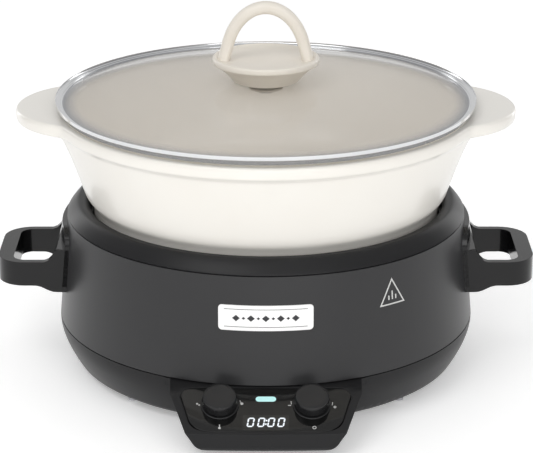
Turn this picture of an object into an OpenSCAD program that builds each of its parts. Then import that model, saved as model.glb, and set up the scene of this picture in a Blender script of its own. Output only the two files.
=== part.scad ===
// Round countertop slow cooker: a heated base with side handles and a sloped control panel,
// a lift-out pot with two ears, and a glass lid with an arched handle.
// Millimetres, +Z up, front towards -Y. It stands on its feet at z = 0, and X = Y = 0 is the
// middle of its outline. The pot's axis lies axis_y behind that, because the panel juts forward.

/* [Housing] */
// Outer radius of the side wall at its foot, the widest ring of the housing
wall_foot_r = 151; // [150:0.5:152]
// Outer radius of the side wall at its top
wall_top_r = 143.9; // [143:0.1:145]
// Height of the joint between the skirt and the side wall
skirt_seam_z = 36.6; // [36.2:0.1:37.4]
// Height of the joint between the side wall and the collar
collar_seam_z = 112.9; // [112:0.1:114]
// Height of the feet below the floor of the base
foot_h = 4; // [3:0.5:4.5]
// Wall thickness of the moulded skirt, panel and collar
mould_t = 2.5; // [2.2:0.1:2.8]
// Thickness of the side wall
wall_t = 1.5; // [1.2:0.1:1.6]
// Inner radius of the collar, where the pot drops in
collar_mouth_r = 128; // [127.6:0.1:128.6]
// Height of the collar's top
collar_top_z = 123.1; // [122:0.1:124]

/* [Well and heater] */
// Inner radius of the well that the pot stands in
well_r = 126.6; // [126.2:0.1:126.8]
// Radius of the heating plate
plate_r = 108; // [104:1:110]
// Height of the heating plate's top, which the pot stands on
plate_top_z = 38; // [37.6:0.1:38.4]
// Radius of the heating element's ring
element_r = 70; // [66:1:72]
// How far the temperature sensor can rise or sink
sensor_travel = 2; // [1:0.5:2.5]

/* [Pot] */
// Outer radius of the straight band that sits inside the collar
band_r = 125; // [124:0.1:125.4]
// Wall thickness of the pot
pot_t = 2.6; // [2.2:0.1:3]
// Outer radius of the rim
rim_r = 151.2; // [150.6:0.1:152]
// Height of the rim's top
rim_top_z = 190.5; // [188:0.5:191]
// Radius of each ear in plan
ear_r = 54; // [50:1:56]
// Reach of each ear from the pot's axis
ear_reach = 178.6; // [174:0.1:180]

/* [Lid] */
// Outer radius of the lid's steel ring
lid_r = 150; // [149:0.5:150.5]
// Thickness of the glass
glass_t = 4; // [3.5:0.5:4.5]
// Height of the glass at its middle
dome_top_z = 208; // [206:0.5:210]
// Radius of the disc under the lid's arched handle
grip_disc_r = 38; // [36:0.5:40]
// Top of the lid's arched handle
arch_top_z = 266.4; // [262:0.2:268]
// Half the outside width of the arch
arch_half_w = 32.6; // [31:0.2:34]

/* [Side handles] */
// Reach of a side handle from the pot's axis
handle_reach = 193.5; // [192:0.5:198]
// Half the width of a side handle, front to back
handle_half_w = 38.6; // [36:0.2:40]
// Bottom of the handle's bar
bar_low_z = 66.2; // [65:0.2:68]
// Height of the handle's bar
bar_h = 18; // [16:0.5:19]
// Width of the grip at the handle's outer end
grip_w = 12.5; // [12:0.5:16]

/* [Control panel] */
// Slope of the panel's face from the horizontal, in degrees
slope = 27; // [25:0.5:29]
// Distance from the pot's axis to the face's upper edge
face_top_y = 150; // [149:0.5:151]
// Height of the face's upper edge
face_top_z = 36.3; // [36:0.1:36.5]
// Length of the panel down its slope
face_len = 41; // [40:0.5:42]
// Distance of each knob from the panel's middle
knob_x = 30.8; // [29:0.1:32]
// Distance of the knobs down the slope
knob_s = 15.6; // [15:0.1:17]
// Diameter of a knob's top
knob_d = 22.8; // [21:0.2:24]
// Height of a knob above the panel
knob_h = 9.8; // [9:0.1:11]
// How far a knob can be pressed
knob_press = 0.8; // [0.4:0.1:0.8]

/* [Hidden] */
$fn = 96;

// Furthest front of the panel, and the pot's axis that centres the outline front to back
front_reach = face_top_y + face_len * cos(slope);
axis_y = (front_reach - wall_foot_r) / 2;
floor_z = foot_h + mould_t;
edge_r = 135;
tab_r = wall_foot_r - 3.4;
tab_low_z = skirt_seam_z - 6.2;
tab_angle = 27.1;
wall_draft = (wall_foot_r - wall_top_r) / (collar_seam_z - skirt_seam_z);
post_r = 132.4;
post_angles = [45, 135, 225, 315];
foot_at = 112;
liner_floor_z = 31;
liner_t = 0.8;
plate_low_z = liner_floor_z + liner_t;
shield_z = 19;
element_tube = 8;
stud_at = 88;
puck_r = 11;
puck_top_z = plate_top_z - 0.3;
puck_low_z = 31.5;
stem_r = 3;
fit_gap = 0.05;
joint_gap = 0.12;
flare_slope = 0.339;
shoulder_z = 131.4;
shoulder_r = 131.2;
guide_low_z = 15;
stop_top_z = guide_low_z - sensor_travel - 0.2;
guide_top_z = 21.3;
board_z = 10;
board_size = [92, 58, 1.6];
board_back = 90;
inlet_face_y = 150.4;
inlet_size = [38, 25];
inlet_mid_z = 21;
socket_size = [24.2, 16.2];
socket_depth = 15;
dome_rise = dome_top_z - 195.4;
dome_edge_r = 146;
dome_r = (dome_edge_r * dome_edge_r + dome_rise * dome_rise) / (2 * dome_rise);
ring_low_z = rim_top_z + 0.3;
disc_low_z = 222.6;
disc_t = 1.9;
opening_in = 151.5;
flange_t = 3.5;
face_t = 2.2;
shaft_r = 3;
bushing_r = 3.5;
ring_top = 1.2;
cyan = [0.7, 0.95, 0.95];
charcoal = [0.24, 0.24, 0.25];
cream = [0.96, 0.94, 0.9];

// ---------- outlines ----------
function arc(cx, cy, r, a0, a1, n = 6) =
  [for (i = [0:n]) let (a = a0 + (a1 - a0) * i / n) [cx + r * cos(a), cy + r * sin(a)]];
function curve(p, n = 8) =
  [for (i = [0:n]) let (t = i / n, u = 1 - t)
    u * u * u * p[0] + 3 * u * u * t * p[1] + 3 * u * t * t * p[2] + t * t * t * p[3]];
function shifted(points, dx) = [for (p = points) [p[0] + dx, p[1]]];
function reversed(points) = [for (i = [len(points) - 1:-1:0]) points[i]];
function wall_r(z) = wall_foot_r - wall_draft * (z - skirt_seam_z);

// Outside of the skirt from its lower edge up to the joint
skirt_curve = curve([
  [edge_r + 4.9, foot_h + 3.1], [edge_r + 6.9, foot_h + 6.4],
  [wall_foot_r + 1, skirt_seam_z - 10.5], [wall_foot_r, skirt_seam_z]
]);
tab_low_r = lookup(tab_low_z, [for (p = skirt_curve) [p[1], p[0]]]);
// Outside of the collar from the joint up to its crown
collar_curve = curve([
  [wall_top_r, collar_seam_z], [wall_top_r, collar_seam_z + 0.6],
  [wall_top_r - 6.5, collar_top_z], [wall_top_r - 9.1, collar_top_z]
]);

module on_axis() translate([0, axis_y, 0]) children();
module around(angles, r) for (a = angles) rotate([0, 0, a]) translate([r, 0, 0]) children();
module tube(r_out, r_in, z0, z1) {
  translate([0, 0, z0]) difference() {
    cylinder(r = r_out, h = z1 - z0);
    translate([0, 0, -1]) cylinder(r = r_in, h = z1 - z0 + 2);
  }
}
module rod(r, z0, z1) translate([0, 0, z0]) cylinder(r = r, h = z1 - z0);
// A panel outline in the XZ plane with round corners, as thick as depth along +Y
module pad_xz(w, h, r, depth) {
  rotate([90, 0, 0]) translate([0, 0, -depth]) linear_extrude(depth) rounded(w, h, r);
}
module rounded(w, h, r) {
  square([w - 2 * r, h], center = true);
  square([w, h - 2 * r], center = true);
  for (x = [-1, 1], y = [-1, 1]) translate([x * (w / 2 - r), y * (h / 2 - r)]) circle(r);
}
function unit(v) = v / norm(v);
// A solid whose rings of points follow each other, closed at both ends
module lofted(rings) {
  sides = len(rings[0]);
  n = len(rings) - 1;
  walls = [for (i = [0:n - 1], k = [0:sides - 1]) let (m = (k + 1) % sides)
    [i * sides + k, i * sides + m, (i + 1) * sides + m, (i + 1) * sides + k]];
  first = [for (k = [sides - 1:-1:0]) k];
  last = [for (k = [0:sides - 1]) n * sides + k];
  polyhedron([for (ring = rings) each ring], concat([first], walls, [last]));
}
// An insulated wire through a list of points
module wire(points, d) {
  sides = 8;
  n = len(points) - 1;
  lofted([for (i = [0:n]) let (
    along = unit(unit(points[min(i + 1, n)] - points[min(i, n - 1)])
      + unit(points[max(i, 1)] - points[max(i - 1, 0)])),
    across = unit(cross([0.31, 0.17, 1], along)), up = cross(along, across)
  ) [for (k = [0:sides - 1]) let (b = 360 * k / sides)
    points[i] + d / 2 * (cos(b) * across + sin(b) * up)]]);
}
// A closed coil of round wire
module coil(r, wire_r, z0, z1, turns) {
  per_turn = 18;
  n = turns * per_turn;
  lofted([for (i = [0:n]) let (a = 360 * i / per_turn)
    [for (b = [0:60:300]) let (rr = r + wire_r * cos(b))
      [rr * cos(a), rr * sin(a), z0 + (z1 - z0) * i / n + wire_r * sin(b)]]]);
}

// ---------- base housing ----------
module inlet_block(grow = 0) {
  translate([0, inlet_face_y - 18.4, inlet_mid_z])
    pad_xz(inlet_size[0] + grow, inlet_size[1] + grow, 3, 18.4);
}
// A band under the joint, from one angle to another either side of the front
module tab_band(from, to, profile) {
  for (start = [-90 + from, -90 - to]) rotate([0, 0, start]) rotate_extrude(angle = to - from)
    polygon(profile);
}
module base_pan() color(charcoal) on_axis() difference() {
  union() {
    rotate_extrude() polygon(concat(
      [[0, foot_h], [edge_r, foot_h]], skirt_curve,
      [[wall_foot_r - wall_t - 0.5, skirt_seam_z], [wall_foot_r - wall_t - 0.9, skirt_seam_z + 4],
       [wall_foot_r - wall_t - 2.8, skirt_seam_z + 4], [wall_foot_r - wall_t - 2.8, skirt_seam_z - 1]],
      reversed(shifted([for (i = [0:6]) skirt_curve[i]], -mould_t - 0.2)),
      [[edge_r + 1.2, floor_z], [0, floor_z]]
    ));
    for (x = [-1, 1], y = [0, 1])
      translate([x * 41, board_back - 5 - y * 48, 0]) rod(3.5, floor_z - 1, board_z);
  }
  for (x = [-1, 1], y = [0, 1])
    translate([x * 41, board_back - 5 - y * 48, 0]) rod(1.5, floor_z + 0.4, board_z + 1);
  around(post_angles, post_r) rod(2, 0, 20);
  around(post_angles, foot_at) rod(4, 0, 20);
  for (i = [0:23]) rotate([0, 0, 15 * i]) translate([36, -1.5, 0]) cube([24, 3, 20]);
  translate([-56, -165, 8.5]) cube([112, 60, 24]);
  inlet_block();
  tab_band(0, tab_angle, [
    [tab_r, tab_low_z], [tab_low_r + 5, tab_low_z], [wall_foot_r + 5, skirt_seam_z],
    [tab_r, skirt_seam_z]
  ]);
}
module side_wall() color(charcoal) on_axis() difference() {
  rotate_extrude() polygon([
    [wall_foot_r, skirt_seam_z], [wall_top_r, collar_seam_z],
    [wall_top_r - wall_t, collar_seam_z], [wall_foot_r - wall_t, skirt_seam_z]
  ]);
  for (side = [-1, 1], y = [-27, 27])
    translate([side * 140, y, 75]) rotate([0, 90, 0]) cylinder(r = 2.1, h = 30, center = true);
}
module top_collar() color(charcoal) on_axis() difference() {
  union() {
    rotate_extrude() polygon(concat(
      collar_curve,
      [[collar_mouth_r + 4, collar_top_z]],
      arc(collar_mouth_r + 3.4, collar_top_z - 3.4, 3.4, 90, 180, 5),
      [[collar_mouth_r - 0.4, collar_top_z - 13], [collar_mouth_r + 1.4, collar_top_z - 13],
       [collar_mouth_r + 2.4, collar_top_z - 4.6], [wall_top_r - 9.3, collar_top_z - 2.7],
       [wall_top_r - 3.2, collar_seam_z + 1.6], [wall_top_r - wall_t - 2, collar_seam_z - 4],
       [wall_top_r - wall_t - 0.1, collar_seam_z - 4], [wall_top_r - wall_t - 0.1, collar_seam_z]]
    ));
    around(post_angles, post_r) rod(3.4, floor_z, collar_top_z - 3.2);
  }
  around(post_angles, post_r) rod(1.65, floor_z - 1, 24);
}
module inner_liner() color("silver") on_axis() difference() {
  rotate_extrude() polygon(concat(
    [[100, liner_floor_z]],
    arc(well_r + liner_t - 5.8, liner_floor_z + 5.8, 5.8, -90, 0),
    [[well_r + liner_t, collar_top_z - 14.9], [well_r + 2.2, collar_top_z - 14.9],
     [well_r + 2.2, collar_top_z - 14.1], [well_r, collar_top_z - 14.1]],
    arc(well_r - 5, liner_floor_z + 5.8, 5, 0, -90),
    [[100, plate_low_z]]
  ));
}
module base_screws() color("dimgray") on_axis() around(post_angles, post_r) {
  rod(1.6, foot_h, 20);
  difference() {
    rod(3.2, foot_h - 1.8, foot_h);
    for (a = [0, 90]) rotate([0, 0, a]) translate([-2.2, -0.4, foot_h - 2.8]) cube([4.4, 0.8, 1.8]);
  }
}
module rubber_feet() color([0.1, 0.1, 0.1]) on_axis() around(post_angles, foot_at) {
  rotate_extrude() polygon(concat(
    [[0, 0]], arc(10, 1, 1, -90, 0, 3), [[10.4, foot_h], [3.95, foot_h], [3.95, floor_z], [0, floor_z]]
  ));
}
module badge_plate() color("white") on_axis() intersection() {
  rotate_extrude() polygon([
    [wall_r(60), 60], [wall_r(60) + 0.8, 60], [wall_r(110) + 0.8, 110], [wall_r(110), 110]
  ]);
  translate([0, -160, 84.5]) pad_xz(64, 17.5, 2.5, 60);
}
module heat_mark() color("lightgray") on_axis() intersection() {
  rotate_extrude() polygon([
    [wall_r(60), 60], [wall_r(60) + 0.25, 60], [wall_r(110) + 0.25, 110], [wall_r(110), 110]
  ]);
  rotate([0, 0, 36]) translate([0, -100, 90]) rotate([90, 0, 0]) linear_extrude(60) {
    difference() {
      polygon(mark_corners(12.4));
      polygon(mark_corners(10.6));
    }
    for (x = [-3, 0, 3]) translate([x - 0.5, -2.6]) square([1, 6 - abs(x)]);
  }
}
function mark_corners(r) = [for (a = [90, 210, 330]) [r * cos(a), r * sin(a)]];

// ---------- heater ----------
module heat_plate() color("silver") on_axis() difference() {
  union() {
    rod(plate_r, plate_low_z, plate_top_z);
    tube(element_r + 6.4, element_r + 4.4, 27, plate_low_z);
    tube(element_r - 4.4, element_r - 6.4, 27, plate_low_z);
    around([90, 210, 330], stud_at) rod(2, 13.5, plate_low_z);
  }
  rod(puck_r + 1.5, 0, 50);
}
module heating_element() color("dimgray") on_axis() {
  rotate([0, 0, -75]) rotate_extrude(angle = 330) translate([element_r, plate_low_z - element_tube / 2])
    circle(d = element_tube, $fn = 32);
  for (side = [-1, 1]) rotate([0, 0, -90 + side * 15])
    translate([element_r, 0, plate_low_z - element_tube / 2])
    rotate([90 * side, 0, 0]) cylinder(d = element_tube - 3, h = 12);
}
module heat_shield() color("gainsboro") on_axis() difference() {
  rotate_extrude() polygon([
    [6, shield_z], [104, shield_z], [104, liner_floor_z], [103.2, liner_floor_z],
    [103.2, shield_z + 0.8], [6, shield_z + 0.8]
  ]);
  around([90, 210, 330], stud_at) rod(2.1, 10, 30);
  translate([0, -78, 0]) rod(12, 10, 30);
}
module plate_nuts() color("gray") on_axis() around([90, 210, 330], stud_at) difference() {
  translate([0, 0, shield_z - 3]) cylinder(r = 3.9, h = 3, $fn = 6);
  rod(2.05, 10, 30);
}
module thermal_fuse() color("wheat") on_axis() {
  translate([-46, -4, plate_low_z - 5]) cube([14, 8, 5]);
  for (x = [-49, -32]) translate([x, -1.5, plate_low_z - 3]) cube([3, 3, 1]);
}
module sensor_guide() color("gray") on_axis() difference() {
  union() {
    rod(16, shield_z + 0.8, guide_top_z);
    rod(5, guide_low_z, guide_top_z);
  }
  rod(stem_r + 0.06, 0, 40);
}
module sensor_puck() color("silver") on_axis() {
  rotate_extrude() polygon(concat(
    [[0, 12], [4.4, 12], [4.4, stop_top_z], [stem_r, stop_top_z], [stem_r, puck_low_z],
     [puck_r, puck_low_z]],
    arc(puck_r - 1, puck_top_z - 1, 1, 0, 90, 4),
    [[0, puck_top_z]]
  ));
}
module sensor_spring() color("lightgray") on_axis()
  coil(6.6, 0.5, guide_top_z + 0.55, puck_low_z - 0.55, 4);

// ---------- electrics ----------
module power_board() color("darkgreen") on_axis() difference() {
  translate([-board_size[0] / 2, board_back - board_size[1], board_z]) cube(board_size);
  for (x = [-1, 1], y = [0, 1]) translate([x * 41, board_back - 5 - y * 48, 0]) rod(1.55, 0, 30);
}
module board_components() color("dimgray") on_axis() translate([0, board_back, board_z + board_size[2]]) {
  translate([-34, -40, 0]) cube([20, 16, 6.8]);
  translate([-8, -50, 0]) cube([18, 14, 6.8]);
  translate([16, -44, 0]) cube([10, 22, 5]);
  for (x = [-24, -12, 0]) translate([x, -14, 3.4]) rotate([0, 90, 0]) cylinder(d = 6.8, h = 10);
  for (i = [0:4]) translate([14 + 5 * i, -14, 0]) cube([4, 8, 6]);
  translate([30, -48, 0]) cube([6, 30, 6.4]);
}
module board_screws() color("silver") on_axis()
  for (x = [-1, 1], y = [0, 1]) translate([x * 41, board_back - 5 - y * 48, 0]) {
    rod(1.45, floor_z + 0.5, board_z + board_size[2]);
    rod(2.8, board_z + board_size[2], board_z + board_size[2] + 1.8);
  }
module wiring() color("firebrick") on_axis() {
  for (i = [0:2]) wire([
    [7 * i - 7, 126.4, inlet_mid_z - (i == 1 ? -3 : 2)], [7 * i - 7, 114, 14.5], [16 + 5 * i, 98, 14],
    [16 + 5 * i, 86.5, 13.4]
  ], 2);
  for (side = [-1, 1]) wire([
    [side * 5.4, -71, 27.8], [side * 5, -71.3, 26], [side * 5, -72, 24], [side * 5, -73, 15],
    [side * 50, -56, 15],
    [side * 60, 10, 15], [side * 42, 45, 14.6], [side * 38, 45, 12.7]
  ], 2);
  wire([
    [14, -159, 15.8], [14, -125, 12], [14, -20, 9.5], [14, 24, 9.5], [12, 30, 13.4], [12, 37, 13.4]
  ], 3);
}
module power_inlet() color([0.12, 0.12, 0.12]) on_axis() difference() {
  inlet_block();
  translate([0, inlet_face_y - socket_depth, inlet_mid_z])
    pad_xz(socket_size[0], socket_size[1], 3, socket_depth + 1);
  for (x = [-7, 0, 7]) translate([x - 2, 120, inlet_mid_z + (x == 0 ? 2 : -3)]) cube([4, 40, 2]);
}
module inlet_pins() color("gold") on_axis()
  for (x = [-7, 0, 7]) translate([x - 2, 127, inlet_mid_z + (x == 0 ? 2 : -3)]) cube([4, 16.4, 2]);

// ---------- side handles ----------
module wall_cone(grow = 0) {
  rotate_extrude() polygon([
    [0, skirt_seam_z], [wall_foot_r + grow, skirt_seam_z], [wall_top_r + grow, collar_seam_z],
    [0, collar_seam_z]
  ]);
}
module handle_plan(reach, half_w, r, x_in) {
  translate([x_in, -half_w]) square([reach - r - x_in, 2 * half_w]);
  translate([x_in, -half_w + r]) square([reach - x_in, 2 * (half_w - r)]);
  for (y = [-1, 1]) translate([reach - r, y * (half_w - r)]) circle(r);
}
module handle() difference() {
  union() {
    intersection() {
      wall_cone(flange_t);
      translate([120, 0, 84]) rotate([90, 0, 90]) linear_extrude(60) rounded(2 * handle_half_w, 46, 11);
    }
    translate([0, 0, bar_low_z]) linear_extrude(bar_h)
      handle_plan(handle_reach, handle_half_w, 20, 130);
    translate([0, 0, bar_low_z - 4.5]) linear_extrude(6) handle_plan(156, handle_half_w, 2, 130);
  }
  wall_cone();
  translate([0, 0, bar_low_z - 10]) linear_extrude(bar_h + 20)
    translate([(opening_in + handle_reach - grip_w) / 2, 0])
    rounded(handle_reach - grip_w - opening_in, 2 * handle_half_w - 10, 9);
  for (y = [-27, 27])
    translate([140, y, 75]) rotate([0, 90, 0]) cylinder(r = 2.05, h = 10.5);
}
module right_handle() color([0.12, 0.12, 0.12]) on_axis() handle();
module left_handle() color([0.12, 0.12, 0.12]) on_axis() mirror([1, 0, 0]) handle();
module handle_screws() color("gray") on_axis() for (side = [-1, 1], y = [-27, 27])
  translate([side * 138.6, y, 75]) rotate([0, side * 90, 0]) {
    cylinder(r = 2, h = 11.6);
    translate([0, 0, -1.6]) cylinder(r = 3.6, h = 3.4);
  }

// ---------- control panel ----------
// Puts its children on the face: x to the right, y up the slope from the upper edge, z outwards
module on_face() on_axis() translate([0, -face_top_y, face_top_z]) rotate([slope, 0, 0]) children();
module knob_places() for (x = [-1, 1]) translate([x * knob_x, -knob_s, 0]) children();
// A tapered outline with round corners: half-widths at its top and bottom edges, each with its radius
function taper_half(w_top, w_low, y_top, y_low, r_top, r_low, lean) = concat(
  arc(w_low - r_low, y_low + r_low, r_low, -90, -lean, 8),
  arc(w_top - r_top, y_top - r_top, r_top, -lean, 90, 8));
module taper(w_top, w_low, y_top, y_low, r_top, r_low) {
  half = taper_half(w_top, w_low, y_top, y_low, r_top, r_low, atan((w_top - w_low) / (y_top - y_low)));
  polygon(concat(half, [for (p = reversed(half)) [-p[0], p[1]]]));
}
// The panel's pod: its side, plan and front outlines cut from each other
module pod(inset, drop) {
  y_front = -front_reach + inset;
  y_back = -125 + 2 * inset;
  intersection() {
    translate([-80, 0, 0]) rotate([90, 0, 90]) linear_extrude(160) polygon(concat(
      [[y_back, foot_h + inset]],
      arc(y_front + 5 - inset, foot_h + 5, 5 - inset, 270, 180, 4),
      [[y_front, face_top_z - face_len * sin(slope) - drop / cos(slope) + inset * tan(slope)],
       [-face_top_y, face_top_z - drop / cos(slope)], [y_back, face_top_z - drop / cos(slope)]]
    ));
    translate([0, 0, -10]) linear_extrude(70)
      taper(65.4 - inset, 63.9 - inset, y_back + 5, y_front, 1, 11.6 - inset);
    translate([0, -100, 0]) rotate([90, 0, 0]) linear_extrude(110)
      taper(74.7 - inset, 51 - inset, 50, foot_h + inset, 1, 14 - inset);
  }
}
module panel_housing() color(charcoal) difference() {
  on_axis() union() {
    pod(0, 0);
    tab_band(19, tab_angle, [
      [tab_r - 2, tab_low_z - 1], [tab_low_r - 0.5, tab_low_z - 1], [tab_low_r, tab_low_z],
      [wall_foot_r, face_top_z], [tab_r - 2, face_top_z]
    ]);
  }
  on_axis() pod(mould_t, face_t + 1.6);
  on_axis() rotate_extrude() polygon(concat(
    [[0, 0], [edge_r + joint_gap, 0], [edge_r + joint_gap, foot_h]],
    [for (p = skirt_curve) if (p[1] < tab_low_z) [p[0] + joint_gap, p[1]]],
    [[tab_low_r + joint_gap, tab_low_z], [tab_r, tab_low_z], [tab_r, skirt_seam_z + 10],
     [0, skirt_seam_z + 10]]
  ));
  on_face() translate([0, 0, -face_t]) linear_extrude(10) taper(57.4, 52.4, -1.4, -38.6, 8, 12);
  on_face() translate([0, 0, -face_t - 3]) linear_extrude(10) taper(54.4, 49.4, -4, -35.6, 6, 10);
}
module panel_fascia() color([0.15, 0.15, 0.15]) on_face() difference() {
  translate([0, 0, -face_t]) linear_extrude(face_t) taper(57.3, 52.3, -1.5, -38.5, 7.9, 11.9);
  knob_places() rod(bushing_r + 0.1, -5, 5);
  translate([0, -30.6, -5]) linear_extrude(10) rounded(31, 12.5, 1);
  translate([0, -10.8, -5]) linear_extrude(10) rounded(13.7, 4.3, 2.15 - 0.01);
}
module display_window() color([0.08, 0.08, 0.09]) on_face()
  translate([0, -30.6, -face_t]) linear_extrude(face_t) rounded(30.9, 12.4, 0.95);
module display_module() color("black") on_face()
  translate([-15, -35.3, -8]) cube([30, 10.4, 8 - face_t]);
module digit(h, w, s) {
  difference() {
    square([w, h]);
    translate([s, s]) square([w - 2 * s, h - 2 * s]);
  }
}
module display_digits() color("white") on_face() translate([0, -34.5, 0]) linear_extrude(0.15) {
  for (x = [-12.6, -5.6, 1.6, 8.6])
    multmatrix([[1, 0.18, 0, x], [0, 1, 0, 0], [0, 0, 1, 0], [0, 0, 0, 1]])
    digit(7.8, 4, 0.95);
  for (y = [2.2, 4.9]) translate([0.1 + 0.18 * y, y]) circle(0.55, $fn = 24);
}
module display_board() color("darkgreen") on_face() translate([-40, -31.5, -11.8]) cube([80, 26.5, 1.6]);
module indicator_lens() color(cyan) on_face()
  translate([0, -10.8, -3.4]) linear_extrude(3.6) rounded(13.6, 4.2, 2.09);
module panel_icons() color("lightgray") on_face() linear_extrude(0.15) {
  translate([-knob_x, -knob_s]) {
    translate([-15.2, 0.8]) circle(0.7, $fn = 24);
    translate([-13.8, -0.3]) circle(0.6, $fn = 24);
    translate([14.7, 0.9]) circle(1, $fn = 24);
    translate([13.2, 3.4]) rotate(-70) square([2.2, 0.5]);
    translate([-0.25, -19.3]) square([0.6, 2.4]);
    translate([0.05, -19.8]) circle(0.85, $fn = 24);
  }
  translate([knob_x, -knob_s]) {
    translate([-16, -0.9]) square([2.1, 0.6]);
    translate([-13.9, 0.4]) rotate(8) square([0.5, 2.6]);
    translate([13.3, -0.4]) rotate(-8) square([0.5, 2.6]);
    translate([14.3, -2.3]) square([2.1, 0.6]);
    translate([15.05, -3.05]) square([0.6, 2.1]);
    translate([1.4, -19.4]) difference() {
      circle(1.3, $fn = 24);
      circle(0.85, $fn = 24);
    }
  }
}
module knob_ring(side) color([0.16, 0.16, 0.16]) on_face() translate([side * knob_x, -knob_s, 0])
  difference() {
    rotate_extrude() polygon([
      [9.6, 0], [12.9, 0], [12.9, ring_top - 0.4], [12.5, ring_top], [9.6, ring_top]
    ]);
    rod(9.5, -1, 0.5);
  }
module left_knob_ring() knob_ring(-1);
module right_knob_ring() knob_ring(1);
module encoder(side) color("silver") on_face() translate([side * knob_x, -knob_s, 0]) difference() {
  union() {
    translate([-6, -6, -10.2]) cube([12, 12, 7.4]);
    rod(bushing_r, -3, 3);
  }
  rod(shaft_r + fit_gap, -9.7, 5);
}
module left_encoder() encoder(-1);
module right_encoder() encoder(1);
module encoder_nuts() color("silver") on_face() knob_places() difference() {
  cylinder(r = 5.6, h = 2, $fn = 6);
  rod(bushing_r + fit_gap, -1, 5);
}
module push_pin(side) color("red") on_face() translate([side * knob_x, -knob_s, 0]) rod(2.8, -8.7, -7.5);
module left_push_pin() push_pin(-1);
module right_push_pin() push_pin(1);
module shaft(side) color("silver") on_face()
  translate([side * knob_x, -knob_s, 0]) rod(shaft_r, -7.45, 8.4);
module left_shaft() shaft(-1);
module right_shaft() shaft(1);
module knob(side) color([0.18, 0.18, 0.18]) on_face()
translate([side * knob_x, -knob_s, 0]) difference() {
  rotate_extrude() polygon(concat(
    [[0, ring_top + knob_press + 0.2], [knob_d / 2 + 0.5, ring_top + knob_press + 0.2]],
    arc(knob_d / 2 - 0.7, knob_h - 0.9, 0.9, 10, 90, 4),
    [[0, knob_h]]
  ));
  rod(9.2, 0, 4.4);
  rod(shaft_r, 0, 8.4);
}
module left_knob() knob(-1);
module right_knob() knob(1);

// ---------- pot ----------
function flare_r(z) = shoulder_r + flare_slope * (z - shoulder_z);
module pot_outside() rotate_extrude() polygon(concat(
  [[0, plate_top_z]],
  arc(band_r - 11, plate_top_z + 8, 8, -90, -6),
  [[band_r, shoulder_z - 6.6]],
  curve([[band_r, shoulder_z - 6.6], [band_r + 0.4, shoulder_z - 3.4],
         [shoulder_r - 1.5, shoulder_z - 4], [shoulder_r, shoulder_z]], 5),
  [[flare_r(rim_top_z - 9.5), rim_top_z - 9.5]],
  arc(rim_r - 3.2, rim_top_z - 5.4, 3.2, -90, 0, 4),
  arc(rim_r - 3.2, rim_top_z - 3.2, 3.2, 0, 90, 4),
  [[0, rim_top_z]]
));
module pot_inside() rotate_extrude() polygon(concat(
  [[0, plate_top_z + 3.5]],
  arc(band_r - 15.6, plate_top_z + 13.5, 10, -90, -4),
  [[band_r - pot_t, shoulder_z - 5], [shoulder_r - pot_t, shoulder_z + 2],
   [flare_r(rim_top_z - 5) - pot_t - 1, rim_top_z - 5], [rim_r - 6.6, rim_top_z + 1],
   [0, rim_top_z + 1]]
));
module ear(side) translate([side * (ear_reach - ear_r), 0, 0]) rotate_extrude() polygon(concat(
  [[0, rim_top_z - 44]], [[12, rim_top_z - 44]],
  curve([[12, rim_top_z - 44], [22, rim_top_z - 22], [34, rim_top_z - 9.5],
         [ear_r - 4, rim_top_z - 8]], 6),
  arc(ear_r - 3.6, rim_top_z - 4.4, 3.6, -90, 0, 3),
  arc(ear_r - 3.6, rim_top_z - 3.6, 3.6, 0, 90, 3),
  [[0, rim_top_z]]
));
module cooking_pot() color(cream) on_axis() difference() {
  union() {
    pot_outside();
    ear(1);
    ear(-1);
  }
  pot_inside();
}

// ---------- lid ----------
module dome(r) translate([0, 0, dome_top_z - dome_r]) sphere(r = r, $fn = 200);
module lid_glass() color([0.8, 0.85, 0.85, 0.5]) on_axis() difference() {
  intersection() {
    dome(dome_r);
    rod(lid_r - 1.4, ring_low_z + 1, dome_top_z + 1);
  }
  dome(dome_r - glass_t);
  rod(3.2, 180, 220);
  tube(lid_r + 10, dome_edge_r - 3, ring_low_z - 5, ring_low_z + 0.9);
}
module lid_ring() color("silver") on_axis() difference() {
  rotate_extrude() polygon(concat(
    [[dome_edge_r - 2, ring_low_z], [lid_r - 1, ring_low_z], [lid_r, ring_low_z + 1]],
    arc(lid_r - 1.2, ring_low_z + 4.3, 1.2, 0, 90, 4),
    arc(dome_edge_r - 1.2, ring_low_z + 5, 0.5, 90, 270, 4),
    [[lid_r - 1, ring_low_z + 4.5], [lid_r - 1, ring_low_z + 0.8], [dome_edge_r - 2, ring_low_z + 0.8]]
  ));
  dome(dome_r);
}
function arch_curve(half_w, h, n) =
  [for (i = [0:n]) let (a = 180 * i / n) [half_w * cos(a), disc_low_z + disc_t - 0.4 + h * sin(a)]];
module lid_handle() color(cream) on_axis() difference() {
  union() {
    rotate_extrude() polygon(concat(
      [[0, dome_top_z + 1.2], [21, dome_top_z + 1.2]],
      curve([[21, dome_top_z + 1.2], [26, dome_top_z + 5], [33, disc_low_z - 4],
             [grip_disc_r - 2, disc_low_z]], 5),
      arc(grip_disc_r - 1, disc_low_z + 0.95, 0.95, -90, 90, 4),
      [[0, disc_low_z + disc_t - 0.5]]
    ));
    rotate([90, 0, 0]) linear_extrude(11, center = true) polygon(concat(
      arch_curve(arch_half_w, arch_top_z - disc_low_z - disc_t + 0.4, 28),
      reversed(arch_curve(arch_half_w - 8.4, arch_top_z - disc_low_z - disc_t - 9.2, 28))
    ));
  }
  rod(2.5, 200, 217);
}
module handle_gasket() color("gray") on_axis() tube(20, 3.2, dome_top_z, dome_top_z + 1.2);
module lid_washer() color("silver") on_axis()
  tube(12, 3.2, dome_top_z - glass_t - 1.2, dome_top_z - glass_t - 0.1);
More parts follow.
